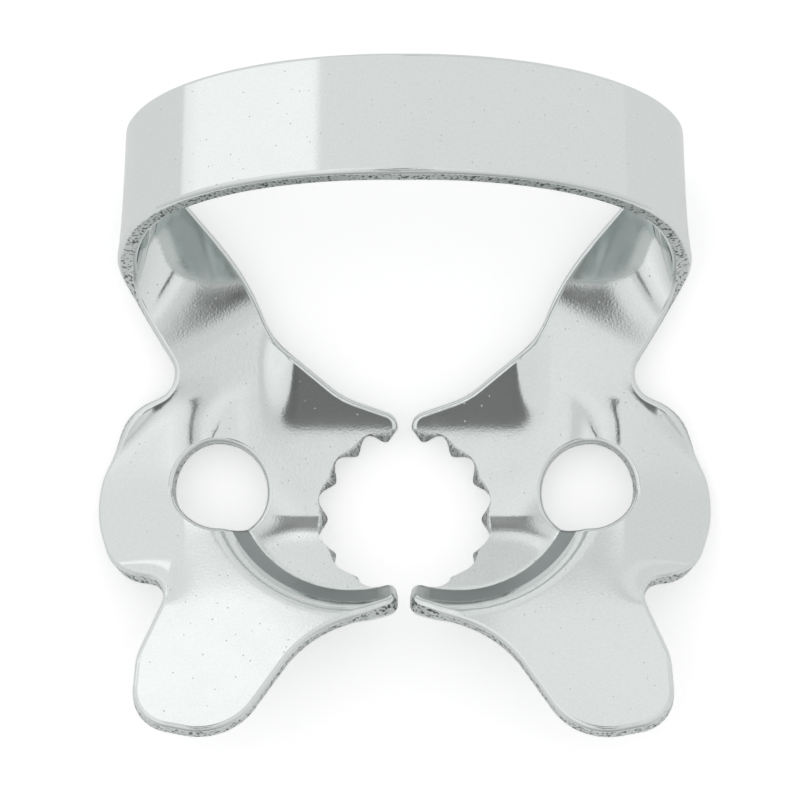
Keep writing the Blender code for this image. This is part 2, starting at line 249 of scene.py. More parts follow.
def bezier(start, leave, arrive, end):
    share = np.linspace(0.0, 1.0, ROUTE_STEPS)[:, None]
    rest = 1.0 - share
    return (start * rest ** 3 + 3.0 * leave * share * rest ** 2
            + 3.0 * arrive * share ** 2 * rest + end * share ** 3)


def roll_route():
    """Middle line of the strip once rolled: leg, shoulder, then up to the crown."""
    slope = math.tan(BACK_RISE)
    root = np.array([STRIP_X, STRIP_Y, slope * (STRIP_Y - BACK_FOLD_Y)])
    leaving = np.array([STRIP_ALONG[0], STRIP_ALONG[1], slope * STRIP_ALONG[1]])
    leaving = leaving / np.linalg.norm(leaving)
    up = np.array([0.0, 0.0, 1.0])
    outward = np.array([1.0, 0.0, 0.0])
    shoulder = np.array([BOW_SPREAD, BOW_BACK, SHOULDER_HEIGHT])
    crown = np.array([0.0, BOW_BACK, BOW_HEIGHT])
    leg = bezier(root, root + LEG_STRAIGHTNESS * leaving,
                 shoulder - SHOULDER_STRAIGHTNESS * up, shoulder)
    arch = bezier(shoulder, shoulder + SHOULDER_BEND * up,
                  crown + CROWN_BEND * outward, crown)
    points = np.vstack([leg, arch[1:]])
    runs = np.linalg.norm(np.diff(points, axis=0), axis=1)
    lengths = np.concatenate([[0.0], np.cumsum(runs)])
    return lengths, points, lengths[ROUTE_STEPS - 1]


ROUTE_LENGTHS, ROUTE_POINTS, SHOULDER_RUN = roll_route()
CROWN_RUN = ROUTE_LENGTHS[-1]
print(f"strip, mm: {SHOULDER_RUN / MM:.2f} to the shoulder, {CROWN_RUN / MM:.2f} to the crown")


# %% Coordinates along and across the strip
def strip_coordinates(x, y):
    """How far a flat point lies along the strip and to the side of its middle."""
    along = (x - STRIP_ROOT[0]) * STRIP_ALONG[0] + (y - STRIP_ROOT[1]) * STRIP_ALONG[1]
    across = (x - STRIP_ROOT[0]) * STRIP_ACROSS[0] + (y - STRIP_ROOT[1]) * STRIP_ACROSS[1]
    return along, across


def strip_point(along, across):
    """Flat point at a place along and across the strip."""
    return STRIP_ROOT + along * STRIP_ALONG + across * STRIP_ACROSS


# %% [markdown]
# The plate itself is a height for each flat point. The raised back and the dished
# floor of the jaw are two surfaces, and the sheet follows whichever is higher, with a
# fold where they cross: that fold is the valley which runs across each jaw in the
# photograph. It is 0.13 mm soft in the jaw and grows softer toward the side lobe,
# where the photograph shows no crease. The back's rear edge, the lip beside the rear
# prongs, is bent up further. The dish ends in a curved wall, the dark crescent in
# front of each forceps hole.

# %% Height of the pressed plate
def plate_height(x, y, along):
    """Pressed height of the plate: raised back, dished jaw and drooping side lobe."""
    past_dish = np.hypot(x - DISH_X, y - DISH_Y) - DISH_RADIUS - DISH_WALL / 2
    wall = soft_larger(past_dish * DISH_DEPTH / DISH_WALL, -DISH_DEPTH, DISH_EDGE_SOFTNESS)
    floor = -soft_larger(-wall, 0.0, DISH_EDGE_SOFTNESS)
    beside_leg = 1.0 - soft_step(along, -LEG_HALF_WIDTH, 0.0)
    jaw_end = soft_step(x, JAW_LIP_END_X - JAW_LIP_FADE, JAW_LIP_END_X + JAW_LIP_FADE)
    on_jaw = (1.0 - jaw_end) * beside_leg
    extra_rise = math.tan(JAW_LIP_RISE) - math.tan(BACK_RISE)
    lip = extra_rise * soft_larger(y - JAW_LIP_Y, 0.0, LOBE_SOFTNESS) * on_jaw
    back = math.tan(BACK_RISE) * (y - BACK_FOLD_Y) + lip
    widening = soft_step(x, WAIST_X, LOBE_RIDGE_X) * beside_leg
    softness = FOLD_SOFTNESS + (LOBE_FOLD_SOFTNESS - FOLD_SOFTNESS) * widening
    height = soft_larger(back, floor, softness)
    past_ridge = soft_larger(x - LOBE_RIDGE_X, 0.0, LOBE_SOFTNESS)
    beside_wing = soft_step(y, -NOTCH_REACH - WING_FADE, -NOTCH_REACH + WING_FADE)
    return height - math.tan(LOBE_DROOP) * past_ridge * beside_leg * beside_wing


# %% The press
NUDGE = 0.002 * MM


def pressed_middle(x, y):
    """Where the pressing takes a point of the blank's middle plane."""
    along, across = strip_coordinates(x, y)
    plate = np.stack([x, y, plate_height(x, y, along)], axis=-1)
    route = np.stack([np.interp(along, ROUTE_LENGTHS, ROUTE_POINTS[:, axis])
                      for axis in range(3)], axis=-1)
    route[..., 0] -= np.maximum(along - CROWN_RUN, 0.0)
    at_root = np.array([STRIP_ACROSS[0], STRIP_ACROSS[1],
                        math.tan(BACK_RISE) * STRIP_ACROSS[1]])
    at_bow = np.array([0.0, 1.0, 0.0])
    turned = soft_step(along, 0.0, SHOULDER_RUN * TWIST_LENGTH)[..., None]
    side = at_root * (1.0 - turned) + at_bow * turned
    strip = route + across[..., None] * side
    return np.where((along > 0.0)[..., None], strip, plate)


def pressed(points):
    """Where the pressing takes solid points of the blank, given as rows of x, y, z."""
    x, y, z = points.T
    along_x = pressed_middle(x + NUDGE, y) - pressed_middle(x - NUDGE, y)
    along_y = pressed_middle(x, y + NUDGE) - pressed_middle(x, y - NUDGE)
    normal = np.cross(along_x, along_y)
    normal = normal / np.linalg.norm(normal, axis=1, keepdims=True)
    return pressed_middle(x, y) + z[:, None] * normal


# %% [markdown]
# ## The flat blank
#
# The outline of the blank is a list of corners, each with the radius that a tool
# leaves there. A 2D curve is the handiest way to turn such an outline into a solid:
# Blender fills it, extrudes it to the sheet's thickness, and its bevel rounds the
# rims as tumbling does, the forceps hole's included.

# %% Corners of half the blank
def blank_corners():
    """Corners of half the blank with the fillet radius of each, anticlockwise."""
    past_crown = CROWN_RUN + BOW_HALF_WIDTH
    shoulder_run = SHOULDER_RUN + RIM_ROUND
    leg_front = strip_point(LEG_LENGTH, -LEG_HALF_WIDTH)
    crown_front = strip_point(past_crown, -BOW_HALF_WIDTH)
    crown_back = strip_point(past_crown, BOW_HALF_WIDTH)
    shoulder_back = strip_point(shoulder_run, SHOULDER_HALF_WIDTH)
    leg_back = strip_point(LEG_LENGTH * 2 / 3, LEG_HALF_WIDTH)
    heel_back = strip_point(-HEEL_HALF_WIDTH / 2, HEEL_HALF_WIDTH)
    return [
        (PRONG_GAP / 2, -MESIAL_PRONG_REACH, PRONG_ROUND),
        (WAIST_X, -WAIST_REACH, WAIST_ROUND),
        (WING_INNER_X, -WING_REACH, WING_ROUND),
        (WING_OUTER_X, -WING_REACH + WING_SLANT, WING_ROUND),
        (WING_OUTER_X - RIM_ROUND, -WING_SIDE_REACH, WING_SIDE_ROUND),
        (NOTCH_X, -NOTCH_REACH, NOTCH_ROUND),
        (LOBE_FRONT_X, -LOBE_FRONT_REACH, LOBE_END_ROUND),
        (LOBE_X, (LOBE_BACK_REACH - LOBE_FRONT_REACH) / 2, LOBE_ROUND),
        (LOBE_BACK_X, LOBE_BACK_REACH, LOBE_END_ROUND),
        (NECK_X, NECK_REACH, NECK_ROUND),
        (*leg_front, STRIP_ROUND),
        (*crown_front, 0.0),
        (*crown_back, 0.0),
        (*shoulder_back, STRIP_ROUND),
        (*leg_back, STRIP_ROUND),
        (*heel_back, HEEL_ROUND),
        (JAW_BACK_X, JAW_BACK_REACH, JAW_BACK_ROUND),
        (PRONG_GAP / 2, DISTAL_PRONG_REACH, PRONG_ROUND),
    ]


# %% Fillets in the outline
ARC_STEP = 0.12 * MM
NEARLY_STRAIGHT = math.radians(89.0)


def filleted(corners):
    """Outline through the corners, with an arc in place of each rounded one."""
    points = []
    places = [Vector(corner[:2]) for corner in corners]
    for index, (x, y, radius) in enumerate(corners):
        here = places[index]
        back = places[index - 1] - here
        ahead = places[(index + 1) % len(places)] - here
        half_angle = back.angle(ahead) / 2
        if radius == 0.0 or half_angle > NEARLY_STRAIGHT:
            points.append(here)
            continue
        room = min(back.length, ahead.length) / 2
        cut_back = min(radius / math.tan(half_angle), room)
        radius = cut_back * math.tan(half_angle)
        start = here + back.normalized() * cut_back
        end = here + ahead.normalized() * cut_back
        middle = (back.normalized() + ahead.normalized()).normalized()
        centre = here + middle * radius / math.sin(half_angle)
        swing = (start - centre).angle_signed(end - centre)
        steps = max(2, math.ceil(abs(swing) * radius / ARC_STEP))
        for step in range(steps + 1):
            turn = Matrix.Rotation(-swing * step / steps, 2)
            points.append(centre + turn @ (start - centre))
    return points


def circle(x, y, radius):
    steps = math.ceil(2 * math.pi * radius / ARC_STEP)
    turns = [2 * math.pi * step / steps for step in range(steps)]
    return [Vector((x + radius * math.cos(turn), y + radius * math.sin(turn)))
            for turn in turns]


# %% The blank as a filled and rounded curve
RIM_STEPS = 3


def make_blank(group):
    """Flat half blank with the forceps hole, all its rims rounded."""
    curve = bpy.data.curves.new("blank_outline", "CURVE")
    curve.dimensions = "2D"
    curve.fill_mode = "BOTH"
    for outline in (filleted(blank_corners()),
                    circle(FORCEPS_X, FORCEPS_Y, FORCEPS_BORE / 2)):
        spline = curve.splines.new("POLY")
        spline.points.add(len(outline) - 1)
        for point, place in zip(spline.points, outline):
            point.co = (place.x, place.y, 0.0, 1.0)
        spline.use_cyclic_u = True
    curve.extrude = SHEET_THICKNESS / 2 - RIM_ROUND
    curve.bevel_depth = RIM_ROUND
    curve.bevel_resolution = RIM_STEPS
    curve.offset = -RIM_ROUND
    outline_object = bpy.data.objects.new("blank_outline", curve)
    group.objects.link(outline_object)
    graph = bpy.context.evaluated_depsgraph_get()
    mesh = bpy.data.meshes.new_from_object(outline_object.evaluated_get(graph))
    bpy.data.objects.remove(outline_object)
    shape = bmesh.new()
    shape.from_mesh(mesh)
    bmesh.ops.remove_doubles(shape, verts=shape.verts, dist=SAME_POINT)
    bmesh.ops.recalc_face_normals(shape, faces=shape.faces)
    shape.to_mesh(mesh)
    shape.free()
    mesh.materials.clear()
    mesh.materials.append(None)
    blank = bpy.data.objects.new("blank", mesh)
    group.objects.link(blank)
    return blank


workshop = collection("workshop")
blank = make_blank(workshop)
print("blank:", len(blank.data.polygons), "faces")


# %% [markdown]
# ## The throat and its teeth
#
# Each jaw bites with seven small teeth. The toolmaker grinds a round throat with a
# bevelled wall and scallops between the teeth, so each tooth is a rounded bead that
# stands out at the lower face. Modelling bead by bead would leave seams, so one cutter
# carries the whole wavy wall: its outline swings between two radii, and the radius at
# the teeth grows toward the upper face while the one at the scallops doesn't.
#
# The cutter has a material slot of its own, which tells the ground faces apart after
# the exact Boolean.

# %% Outline of the toothed throat
TOOTH_STEPS = 36


def tooth_angle(number):
    """Angle of a tooth about the throat's centre, counted from the middle tooth."""
    crowding = TOOTH_CROWDING * np.abs(number) * (np.abs(number) - 1.0) / 2
    return number * TOOTH_PITCH - np.sign(number) * crowding


def throat_outline(tip_radius, root_radius):
    """Wavy outline of the toothed throat about its centre, plain on its open side."""
    last = TEETH_EACH_SIDE + 0.5
    numbers = np.linspace(-last, last, (2 * TEETH_EACH_SIDE + 1) * TOOTH_STEPS + 1)
    open_turns = np.linspace(tooth_angle(last), 2 * math.pi - tooth_angle(last), TOOTH_STEPS)
    turns = np.concatenate([tooth_angle(numbers), open_turns[1:-1]])
    share = np.ones_like(turns)
    share[:len(numbers)] = np.abs(np.sin(math.pi * numbers)) ** TOOTH_SHARPNESS
    radius = tip_radius + (root_radius - tip_radius) * share
    return np.stack([THROAT_X + radius * np.cos(turns), THROAT_Y + radius * np.sin(turns)],
                    axis=-1)


# %% Cutter for the throat
ground = bpy.data.materials.new("ground_face_marker")


def add_throat_cutter(group):
    """Cutter for the throat, whose teeth are bevelled toward the upper face."""
    above = SHEET_THICKNESS * 1.5
    flare = THROAT_BEVEL * (above / SHEET_THICKNESS - 0.5)
    lower_tip = THROAT_RADIUS - flare
    upper_tip = THROAT_RADIUS + THROAT_BEVEL + flare
    root = THROAT_RADIUS + TOOTH_DEPTH
    shape = bmesh.new()
    rings = [[shape.verts.new((x, y, height)) for x, y in throat_outline(tip, root)]
             for height, tip in ((-above, lower_tip), (above, upper_tip))]
    lower, upper = rings
    walls = [shape.faces.new((lower[index - 1], lower[index], upper[index], upper[index - 1]))
             for index in range(len(lower))]
    bmesh.ops.triangulate(shape, faces=walls)
    shape.faces.new(lower[::-1])
    shape.faces.new(upper)
    mesh = bpy.data.meshes.new("throat")
    shape.to_mesh(mesh)
    shape.free()
    mesh.materials.append(ground)
    group.objects.link(bpy.data.objects.new("throat", mesh))


TOOTH_EDGE_ROUND = 0.07 * MM
SHARP_ANGLE = math.radians(40.0)

cutters = collection("cutters")
add_throat_cutter(cutters)
cut = blank.modifiers.new("throat_and_teeth", "BOOLEAN")
cut.solver = "EXACT"
cut.operation = "DIFFERENCE"
cut.operand_type = "COLLECTION"
cut.collection = cutters
soften = blank.modifiers.new("polished_edges", "BEVEL")
soften.width = TOOTH_EDGE_ROUND
soften.segments = 2
soften.limit_method = "ANGLE"
soften.angle_limit = SHARP_ANGLE

# %% [markdown]
# ## Cells fine enough to press
#
# A flat face can't bend, so before the press the blank is cut into small cells, along
# planes rather than by subdividing. Planes leave the outline exactly where it was.
# The plate gets square cells, and the strip gets cells that lie along and across it,
# which is how it will be rolled.

# %% Cut the blank into cells
PLATE_CELL = 0.20 * MM
ROLL_CELL = 0.16 * MM
STRIP_CELL = 0.60 * MM
SEAM_WIDTH = 0.001 * MM


def cut_at(shape, place, direction, region=None, clear_outer=False):
    """Cut the shape, or only one region's faces, along one upright plane."""
    faces = [face for face in shape.faces if region is None or face.smooth == region]
    geometry = list(faces)
    geometry.extend({edge for face in faces for edge in face.edges})
    geometry.extend({vert for face in faces for vert in face.verts})
    bmesh.ops.bisect_plane(shape, geom=geometry, dist=SAME_POINT,
                           plane_co=(*place, 0.0), plane_no=(*direction, 0.0),
                           clear_outer=clear_outer)


def cut_into_cells(shape):
    """Cells along the strip where it is rolled, and square ones on the plate."""
    cut_at(shape, STRIP_ROOT, STRIP_ALONG)
    for face in shape.faces:
        centre = face.calc_center_median()
        face.smooth = strip_coordinates(centre.x, centre.y)[0] > 0.0
    for side in np.arange(-BOW_HALF_WIDTH, BOW_HALF_WIDTH, STRIP_CELL) + STRIP_CELL / 2:
        cut_at(shape, strip_point(0.0, side), STRIP_ACROSS, True)
    for run in np.arange(ROLL_CELL, CROWN_RUN, ROLL_CELL):
        cut_at(shape, strip_point(run, 0.0), STRIP_ALONG, True)
    for x in np.arange(PRONG_GAP / 2, LOBE_X, PLATE_CELL):
        cut_at(shape, (x, 0.0), (1.0, 0.0), False)
    for y in np.arange(-WING_REACH, STRIP_Y + LEG_HALF_WIDTH, PLATE_CELL):
        cut_at(shape, (0.0, y), (0.0, 1.0), False)


graph = bpy.context.evaluated_depsgraph_get()
mesh = bpy.data.meshes.new_from_object(blank.evaluated_get(graph))
mesh.name = "clamp_sheet"
shape = bmesh.new()
shape.from_mesh(mesh)
bmesh.ops.remove_doubles(shape, verts=shape.verts, dist=SEAM_WIDTH)
cut_at(shape, strip_point(CROWN_RUN, 0.0), STRIP_ALONG, clear_outer=True)
cut_into_cells(shape)
bmesh.ops.triangulate(shape, faces=[face for face in shape.faces if len(face.verts) > 4])
for face in shape.faces:
    face.smooth = True
shape.to_mesh(mesh)
shape.free()
print("cut blank:", len(mesh.polygons), "faces")

# %% [markdown]
# ## Press it, and keep the shine true
#
# Polished steel shows every wobble of a surface's normals. Normals that Blender
# averages from small triangles would wobble, so they are worked out exactly: on the
# flat blank they are known, straight up on the faces and turning evenly round the
# rims, and the press turns them as it turns the steel. The way a normal turns is the
# inverse transpose of the press's own slopes, which two nearby points give.

# %% Normals on the flat blank
LEVEL_NORMAL = 0.999
WALL_RISE = 0.01


def flat_normals(mesh):
    """One normal per corner of the flat blank, and which corners are on a cut wall."""
    mesh.set_sharp_from_angle(angle=SHARP_ANGLE)
    corners = len(mesh.loops)
    normals = np.empty(corners * 3)
    mesh.corner_normals.foreach_get("vector", normals)
    normals = normals.reshape(-1, 3)
    vertex = np.empty(corners, int)
    mesh.loops.foreach_get("vertex_index", vertex)
    totals = np.empty(len(mesh.polygons), int)
    mesh.polygons.foreach_get("loop_total", totals)
    facing = np.empty(len(mesh.polygons) * 3)
    mesh.polygons.foreach_get("normal", facing)
    facing = np.repeat(facing.reshape(-1, 3), totals, axis=0)
    cut_face = np.empty(len(mesh.polygons), int)
    mesh.polygons.foreach_get("material_index", cut_face)
    cut_face = np.repeat(cut_face, totals) == 1
    places = np.array([vert.co for vert in mesh.vertices])
    height = places[vertex, 2]
    flat = np.abs(facing[:, 2]) > LEVEL_NORMAL
    rounded = ~flat & ~cut_face
    outward = normals[:, :2] / np.maximum(
        np.linalg.norm(normals[:, :2], axis=1, keepdims=True), 1e-9)
    rise = np.clip((np.abs(height) - (SHEET_THICKNESS / 2 - RIM_ROUND)) / RIM_ROUND, 0, 1)
    turned = np.column_stack([outward * np.sqrt(1 - rise[:, None] ** 2),
                              np.sign(height) * rise])
    normals = np.where(rounded[:, None], turned, normals)
    normals = np.where(flat[:, None], np.sign(facing) * [0, 0, 1], normals)
    return places, vertex, normals, (rounded & (rise < WALL_RISE)) | cut_face


# %% The press at work
def press(mesh):
    """The blank's points in the pressed form, and its normals turned with them."""
    places, vertex, normals, on_cut = flat_normals(mesh)
    formed = pressed(places)
    along = strip_coordinates(places[:, 0], places[:, 1])[0]
    at_crown = along > CROWN_RUN - SEAM_WIDTH
    formed[at_crown, 0] = 0.0
    nudge = 2 * NUDGE
    slopes = np.stack([pressed(places + step) - pressed(places - step)
                       for step in np.eye(3) * nudge], axis=2) / (2 * nudge)
    turn = np.linalg.inv(slopes).transpose(0, 2, 1)
    turned = np.einsum("nij,nj->ni", turn[vertex], normals)
    turned[at_crown[vertex], 0] = 0.0
    turned = turned / np.linalg.norm(turned, axis=1, keepdims=True)
    return formed, turned, on_cut


formed, turned, on_cut = press(mesh)
print("pressed half, mm:", np.round(np.ptp(formed, axis=0) / MM, 2))

# %% [markdown]
# ## Mirror it and lay it down
#
# The other half is a Mirror modifier, because the clamp is symmetrical and its crown
# has to join without a seam. Unheld, the real clamp tips back until the outer edges
# of its side lobes and the heels of its legs touch the table. The lean at which both
# are equally low is found by halving an interval, and the clamp is turned by it.

# %% The pose at rest
LEAN_STEP = 1e-6


def rest_pitch(places):
    """Backward lean at which the side lobes and the heels of the legs touch the ground."""
    heels = places[:, 1] > STRIP_Y
    lean = 0.0
    most = math.pi / 4
    while most - lean > LEAN_STEP:
        middle = (lean + most) / 2
        heights = places[:, 2] * math.cos(middle) - places[:, 1] * math.sin(middle)
        if heights[heels].min() > heights[~heels].min():
            lean = middle
        else:
            most = middle
    return lean


lean = rest_pitch(formed)
back_turn = np.array(Matrix.Rotation(-lean, 3, "X")).T
placed = formed @ back_turn
middle_y = (placed[:, 1].min() + placed[:, 1].max()) / 2
hole_row = Vector((0.0, -middle_y, -placed[:, 2].min()))
placed = placed + np.array(hole_row)
print(f"leans back by {math.degrees(lean):.2f} degrees")

# %% One piece of steel
flat_place = mesh.attributes.new("flat_place", "FLOAT_VECTOR", "POINT")
flat_place.data.foreach_set("vector", [side / MM for vert in mesh.vertices for side in vert.co])
mesh.vertices.foreach_set("co", placed.ravel())
mesh.update()
half_normals = mesh.attributes.new("pressed_normal", "FLOAT_VECTOR", "CORNER")
half_normals.data.foreach_set("vector", (turned @ back_turn).ravel())
cut_walls = mesh.attributes.new("cut_wall", "FLOAT", "CORNER")
cut_walls.data.foreach_set("value", on_cut.astype(float))
clamp = bpy.data.objects.new("spring_steel_clamp", mesh)
bpy.context.scene.collection.objects.link(clamp)
mirror = clamp.modifiers.new("other_half", "MIRROR")
mirror.use_axis = (True, False, False)
mirror.merge_threshold = 2 * SEAM_WIDTH
for helper in (*cutters.objects, *workshop.objects):
    bpy.data.objects.remove(helper, do_unlink=True)

# %% [markdown]
# With the Mirror modifier left on, the normals set one by one came out wrong at its seam
# and drew a dark mark on the crown. So its result is taken as one mesh, and both halves
# get their normals there: the same ones, with x reversed on the left half.

# %% Normals of both halves
def both_halves(half):
    """The mirrored mesh as it stands, with the pressed normals on both its halves."""
    graph = bpy.context.evaluated_depsgraph_get()
    whole = bpy.data.meshes.new_from_object(
        half.evaluated_get(graph), preserve_all_data_layers=True, depsgraph=graph)
    normals = np.empty(len(whole.loops) * 3)
    whole.attributes["pressed_normal"].data.foreach_get("vector", normals)
    normals = normals.reshape(-1, 3)
    normals[:, 0] *= [math.copysign(1.0, face.center.x)
                      for face in whole.polygons for corner in face.loop_indices]
    whole.attributes.remove(whole.attributes["pressed_normal"])
    whole.normals_split_custom_set(normals.tolist())
    return whole


clamp.data = both_halves(clamp)
clamp.modifiers.clear()
print("whole clamp:", len(clamp.data.polygons), "faces")

# %% Tie it to the model
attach(clamp, "root")
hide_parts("clamp")
drawn_low, drawn_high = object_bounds()
print("drawn here, mm:", [round(side / MM, 2) for side in drawn_high - drawn_low])

# %% [markdown]
# ## Polished stainless spring steel
#
# The real part is stamped from stainless strip, tumbled with polishing stones and
# buffed. That leaves a bright, faintly cold grey mirror with a slight haze. It could be
# drawn as plain metal with one roughness, but then it would look like chrome plate. What
# makes it read as worked steel is small: a fine grain, scattered pits that the buff
# didn't reach, a hardly visible waviness from rolling, a satin wall where the jaw was
# struck down, whose colour is darkened as painted shade, and cut walls that stay coarse
# and dark in their hollows.

# %% A function that adds a node
def add_node(tree, kind, inputs=None, **settings):
    """Add a node, set its settings, then give each input a value or a link."""
    node = tree.nodes.new(kind)
    for name, value in settings.items():
        setattr(node, name, value)
    for name, value in (inputs or {}).items():
        if isinstance(value, bpy.types.NodeSocket):
            tree.links.new(value, node.inputs[name])
        else:
            node.inputs[name].default_value = value
    return node


# %% A material for the steel
steel = bpy.data.materials.new("polished_stainless_spring_steel")
steel.use_nodes = True
tree = steel.node_tree
shader = tree.nodes["Principled BSDF"]
shader.inputs["Metallic"].default_value = 1.0
clamp.data.materials.clear()
clamp.data.materials.append(steel)
place = add_node(tree, "ShaderNodeTexCoord").outputs["Object"]

# %% [markdown]
# ### Pits, grain and waviness
#
# Each pattern has its size in real millimetres. A Voronoi texture puts one pit in each
# cell of about a third of a millimetre, at a place of its own, and its random colour
# decides which pits are kept. Real buffing grain is too fine for a picture of 800
# pixels, so it is drawn a tenth of a millimetre coarse. The waviness is some
# millimetres long and only microns high, which is enough to bend a reflection.

# %% Patterns
PIT_CELL = 0.36 * MM
PIT_SHARE = 0.60
PIT_BOTTOM = 0.04
PIT_RIM = 0.10
GRAIN_SIZE = 0.10 * MM
WAVE_LENGTH = 4.5 * MM

pit_cells = add_node(tree, "ShaderNodeTexVoronoi", {"Vector": place, "Scale": 1 / PIT_CELL})
pit_form = add_node(tree, "ShaderNodeMapRange", {
    "Value": pit_cells.outputs["Distance"], "From Min": PIT_BOTTOM, "From Max": PIT_RIM,
    "To Min": 1.0, "To Max": 0.0})
pit_draw = add_node(tree, "ShaderNodeSeparateColor", {"Color": pit_cells.outputs["Color"]})
pit_kept = add_node(tree, "ShaderNodeMath", {0: pit_draw.outputs["Red"], 1: PIT_SHARE},
                    operation="LESS_THAN")
pits = add_node(tree, "ShaderNodeMath", {0: pit_form.outputs["Result"],
                                         1: pit_kept.outputs["Value"]},
                operation="MULTIPLY").outputs["Value"]
grain = add_node(tree, "ShaderNodeTexNoise", {
    "Vector": place, "Scale": 1 / GRAIN_SIZE, "Detail": 1.0}).outputs["Fac"]
waves = add_node(tree, "ShaderNodeTexNoise", {
    "Vector": place, "Scale": 1 / WAVE_LENGTH, "Detail": 1.0}).outputs["Fac"]
print("pits about", round((PIT_BOTTOM + PIT_RIM) * PIT_CELL / MM, 2), "mm wide")

# %% [markdown]
# ### The satin wall of the jaw, with painted shade
#
# The jaw's floor was struck down by a punch, and buffing wheels don't reach the lower
# half of the wall between floor and wing, so that half is drawn satin. Its colour is
# also painted darker: painted shade that stands in for the dark reflection of the wall.
# The edge of that patch has to be crisp, and the cells of the mesh are too coarse to
# paint it on them. So every point carries the place that it had on the flat blank, in
# millimetres, and the shader measures from that how far it is from the middle of the
# wall. Four limits end the satin and the painted shade: toward the floor, toward the
# wing, at the fold and beside the prong.

# %% How much a point is on the wall
WALL_BLUR = 0.05
SATIN_AND_SHADE_INSIDE = 0.62
SATIN_AND_SHADE_OUTSIDE = 0.22
SATIN_AND_SHADE_END_X = 1.1
FOLD_BLUR = 10 * WALL_BLUR
END_BLUR = 8 * WALL_BLUR

blank_place = add_node(tree, "ShaderNodeAttribute", attribute_name="flat_place")
flat_sides = add_node(tree, "ShaderNodeSeparateXYZ", {"Vector": blank_place.outputs["Vector"]})
flat_point = add_node(tree, "ShaderNodeCombineXYZ", {"X": flat_sides.outputs["X"],
                                                     "Y": flat_sides.outputs["Y"]})
from_dish = add_node(tree, "ShaderNodeVectorMath", {
    0: flat_point.outputs["Vector"], 1: (DISH_X / MM, DISH_Y / MM, 0.0)},
    operation="DISTANCE")
from_ring = add_node(tree, "ShaderNodeMath", {0: from_dish.outputs["Value"],
                                              1: DISH_RADIUS / MM},
                     operation="SUBTRACT").outputs["Value"]
fold_y = BACK_FOLD_Y / MM
# This mask carries both the satin roughness and the painted shade of the wall's colour.
wall = 1.0
for measure, start, end in ((from_ring, -SATIN_AND_SHADE_INSIDE, -SATIN_AND_SHADE_INSIDE + WALL_BLUR),
                            (from_ring, SATIN_AND_SHADE_OUTSIDE + WALL_BLUR, SATIN_AND_SHADE_OUTSIDE),
                            (flat_sides.outputs["Y"], fold_y, fold_y - FOLD_BLUR),
                            (flat_sides.outputs["X"], SATIN_AND_SHADE_END_X - END_BLUR, SATIN_AND_SHADE_END_X)):
    within = add_node(tree, "ShaderNodeMapRange", {
        "Value": measure, "From Min": start, "From Max": end})
    wall = add_node(tree, "ShaderNodeMath", {0: wall, 1: within.outputs["Result"]},
                    operation="MULTIPLY").outputs["Value"]
cut_wall = add_node(tree, "ShaderNodeAttribute", attribute_name="cut_wall").outputs["Fac"]
print("satin wall", round(SATIN_AND_SHADE_INSIDE + SATIN_AND_SHADE_OUTSIDE, 2), "mm wide")

# %% [markdown]
# ### Colour
#
# A metal's base colour is what it gives back of white light. Stainless steel gives back
# a little less red than green and blue, which is the cold tint. Grain shifts it by a few
# parts in a hundred, pits are darker because they trap light, the jaw's satin wall is
# coloured darker as painted shade for its dark reflection, and the walls that a press cut
# are torn: bright between, dark in the tears. The finest tears don't show at
# 800 pixels, so they too are drawn coarse, about 0.14 mm.

# %% Base colour
BUFFED_LIGHT = "#E4E8E7"
BUFFED_DARK = "#DADFDE"
PIT_COLOUR = "#ADB3B2"
# Painted shade: the jaw's satin wall is coloured darker than the buffed steel, for the dark
# reflection it shows.
WALL_PAINTED_SHADE = "#A2A8A7"
TORN_LIGHT = "#CDD2D0"
TORN_DARK = "#525957"
TEAR_SIZE = 1.4 * GRAIN_SIZE
TORN_BELOW = 0.38
WHOLE_ABOVE = 0.46

buffed = add_node(tree, "ShaderNodeMix", {
    "Factor": grain, "A": linear(BUFFED_LIGHT), "B": linear(BUFFED_DARK)}, data_type="RGBA")
pitted = add_node(tree, "ShaderNodeMix", {
    "Factor": pits, "A": buffed.outputs["Result"], "B": linear(PIT_COLOUR)},
    data_type="RGBA")
# Painted shade: the darker wall colour is mixed in wherever the wall mask is.
with_wall_painted_shade = add_node(tree, "ShaderNodeMix", {
    "Factor": wall, "A": pitted.outputs["Result"], "B": linear(WALL_PAINTED_SHADE)},
    data_type="RGBA")
tear_noise = add_node(tree, "ShaderNodeTexNoise", {
    "Vector": place, "Scale": 1 / TEAR_SIZE, "Detail": 1.0})
tears = add_node(tree, "ShaderNodeMapRange", {
    "Value": tear_noise.outputs["Fac"], "From Min": TORN_BELOW, "From Max": WHOLE_ABOVE})
torn = add_node(tree, "ShaderNodeMix", {
    "Factor": tears.outputs["Result"], "A": linear(TORN_DARK), "B": linear(TORN_LIGHT)},
    data_type="RGBA")
colour = add_node(tree, "ShaderNodeMix", {
    "Factor": cut_wall, "A": with_wall_painted_shade.outputs["Result"], "B": torn.outputs["Result"]},
    data_type="RGBA")
tree.links.new(colour.outputs["Result"], shader.inputs["Base Color"])
print("buffed steel gives back", [round(part, 2) for part in linear(BUFFED_LIGHT)[:3]])

# %% [markdown]
# ### Roughness and relief
#
# Buffed steel is a mirror with a slight haze that comes and goes over a millimetre or
# two. The struck wall is satin and the cut walls are coarser. The relief is three Bump
# nodes in a row, so that each keeps its own real height: waves of six microns, grain of
# less than one and pits of five.

# %% Roughness
HAZE_SIZE = 1.6 * MM
NOISE_SPAN = (0.3, 0.7)
BUFFED_ROUGHNESS = (0.06, 0.10)
SATIN_ROUGHNESS = 0.34
TORN_ROUGHNESS = 0.28
PIT_ROUGHNESS = 0.30

